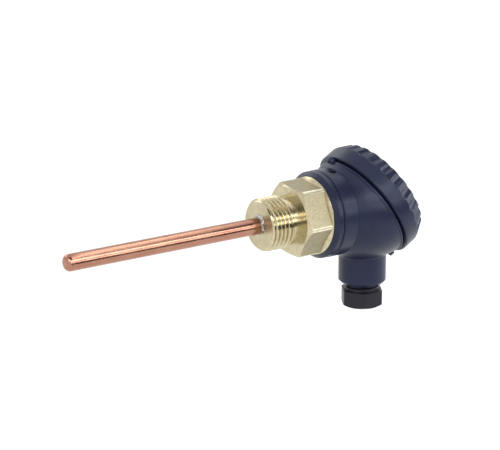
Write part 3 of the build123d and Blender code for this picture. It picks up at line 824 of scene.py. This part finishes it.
HEAD_COLOR = (0.013, 0.0155, 0.043)
finishes = {
    "brass": brass_turned("brass_turned", 0.15, 0.26),
    "brass_face": brass_turned("brass_face", 0.3, 0.42),
    "brass_flats": brass_flats(),
    "brass_edges_painted_highlight": brass_edges_painted_highlight(),
    "copper": copper_drawn(),
    "solder": solder_painted_shade_and_highlight(),
    "head_plastic": moulded("head_plastic", HEAD_COLOR, 0.32, gloss=(0.78, 0.87, 1.0)),
    "gland_plastic": moulded("gland_plastic", (0.005, 0.004, 0.012), 0.38),
    "rubber": moulded("rubber_matt", (0.022, 0.022, 0.026), 0.7, grain_depth=0.03),
    "screw_steel": plated_steel(),
    "black_steel": black_steel(),
    "terminal_moulding": moulded("terminal_moulding", (0.70, 0.67, 0.58), 0.5),
    "terminal_brass": brass_flats(),
    "tinned_metal": plated_steel(),
    "lead_white": moulded("lead_white", (0.80, 0.79, 0.74), 0.45),
    "lead_red": moulded("lead_red", (0.42, 0.03, 0.025), 0.45),
    "sleeve": woven_sleeve(),
    "element_case": moulded("element_case", (0.82, 0.80, 0.75), 0.3),
}


def dress(piece, *names):
    """Gives a piece its finishes."""
    piece.data.materials.clear()
    for name in names:
        piece.data.materials.append(finishes[name])


def finish_faces(piece):
    """Shares out the fitting's four finishes: turned brass, the hexagon's flats, the hexagon's edges in a
    lighter brass that is a painted highlight, the front face.
    """
    turned_brass, flat, edge, front = range(4)
    for face in piece.data.polygons:
        normal = face.normal
        on_hexagon = HEX_X * MM < face.center.x < (HEX_X + HEX_LENGTH) * MM
        if on_hexagon and abs(normal.x) < 0.1:
            lean = math.degrees(math.atan2(normal.z, -normal.y)) + HEX_TURN
            off_flat = abs(lean % 60 - 30)
            face.material_index = flat if off_flat < 3 else edge
        elif normal.x < -0.95 and face.center.x < THREAD_LEAD * MM:
            face.material_index = front
        else:
            face.material_index = turned_brass


dress(fitting, "brass", "brass_flats", "brass_edges_painted_highlight", "brass_face")
finish_faces(fitting)
dress(copper_tube, "copper")
dress(solder, "solder")
dress(lid, "head_plastic")
dress(collar_thread, "head_plastic")
dress(screw, "gland_plastic")
for subpart in frame["record"]["subparts"]:
    dress(frame["nodes"][subpart["node"]], subpart["material_slot"])
dress(frame["nodes"]["neck_grub_screw"], "black_steel")


# Stage, lights and camera

def facing_centre(place):
    """The turn that makes a lamp or a card at a place look at the centre."""
    return (CENTRE - place).to_track_quat("-Z", "Y").to_euler()


def softbox(name, offset, width, height, power):
    """A soft rectangular lamp that looks at the centre."""
    lamp = bpy.data.lights.new(name, "AREA")
    lamp.shape = "RECTANGLE"
    lamp.size = width
    lamp.size_y = height
    lamp.energy = power
    holder = bpy.data.objects.new(name, lamp)
    bpy.context.scene.collection.objects.link(holder)
    holder.location = CENTRE + Vector(offset)
    holder.rotation_euler = facing_centre(CENTRE + Vector(offset))


def dark_card(name, offset, width, height):
    """A dark studio card that only bright surfaces mirror."""
    deselect_all()
    bpy.ops.mesh.primitive_grid_add(x_subdivisions=2, y_subdivisions=2, size=1)
    card = bpy.context.object
    card.name = name
    card.scale = (width, height, 1)
    card.location = CENTRE + Vector(offset)
    card.rotation_euler = facing_centre(CENTRE + Vector(offset))
    bpy.ops.object.transform_apply(location=True, rotation=True, scale=True)
    card.visible_camera = False
    card.visible_diffuse = False
    card.visible_transmission = False
    card.visible_shadow = False
    material, nodes, links, shader = finish_of("card_black", (0.03, 0.03, 0.035), 1.0, specular=0.0)
    card.data.materials.append(material)


for lamp_sizes in LAMPS:
    softbox(*lamp_sizes)
for card_sizes in CARDS:
    dark_card(*card_sizes)


def seen_directly(nodes, links):
    """One for rays that look at the background or mirror it, and nothing for light."""
    path = nodes.new("ShaderNodeLightPath")
    mirrored = nodes.new("ShaderNodeMath")
    mirrored.operation = "MAXIMUM"
    links.new(path.outputs["Is Glossy Ray"], mirrored.inputs[0])
    links.new(path.outputs["Is Transmission Ray"], mirrored.inputs[1])
    seen = nodes.new("ShaderNodeMath")
    seen.operation = "MAXIMUM"
    links.new(path.outputs["Is Camera Ray"], seen.inputs[0])
    links.new(mirrored.outputs["Value"], seen.inputs[1])
    return seen.outputs["Value"]


def make_floor():
    """Plain pale floor that is white to the camera and takes the shadow."""
    deselect_all()
    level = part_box("gland_screw")[0].z - FLOOR_DROP
    bpy.ops.mesh.primitive_grid_add(x_subdivisions=2, y_subdivisions=2, size=8, location=(0, 0, level))
    floor = bpy.context.object
    bpy.ops.object.transform_apply(location=True)
    floor.name = "floor"
    material, nodes, links, shader = finish_of("floor_white", (0.5, 0.5, 0.5), 0.9, specular=0.0)
    shader.inputs["Emission Color"].default_value = (1, 1, 1, 1)
    glow = nodes.new("ShaderNodeMapRange")
    glow.inputs["To Max"].default_value = FLOOR_GLOW
    links.new(seen_directly(nodes, links), glow.inputs["Value"])
    links.new(glow.outputs["Result"], shader.inputs["Emission Strength"])
    floor.data.materials.append(material)


def make_world():
    """White surroundings that light the object less than they show."""
    world = bpy.data.worlds.new("studio")
    bpy.context.scene.world = world
    world.use_nodes = True
    nodes, links = world.node_tree.nodes, world.node_tree.links
    sky = nodes["Background"]
    sky.inputs["Color"].default_value = (1, 1, 1, 1)
    strength = nodes.new("ShaderNodeMapRange")
    strength.inputs["To Min"].default_value = WORLD_LIGHT
    strength.inputs["To Max"].default_value = 1.0
    links.new(seen_directly(nodes, links), strength.inputs["Value"])
    links.new(strength.outputs["Result"], sky.inputs["Strength"])


def make_camera():
    """The photograph's camera, with the fitting's front face where the photo has it."""
    aim = Vector((FACE_X * MM, 0, 0)) - RIGHT * ((FRONT_PIXEL[0] - PHOTO_CENTRE[0]) / PIXELS_PER_METRE)
    aim += UP * ((FRONT_PIXEL[1] - PHOTO_CENTRE[1]) / PIXELS_PER_METRE)
    lens = bpy.data.cameras.new("camera")
    lens.lens = VIEW_LENS
    lens.sensor_width = SENSOR_WIDTH
    lens.clip_start = 0.01
    camera = bpy.data.objects.new("camera", lens)
    bpy.context.scene.collection.objects.link(camera)
    camera.location = aim + BACK * VIEW_DISTANCE
    camera.rotation_euler = (-BACK).to_track_quat("-Z", "Y").to_euler()
    bpy.context.scene.camera = camera


make_floor()
make_world()
make_camera()
bpy.context.scene.view_settings.view_transform = "Standard"
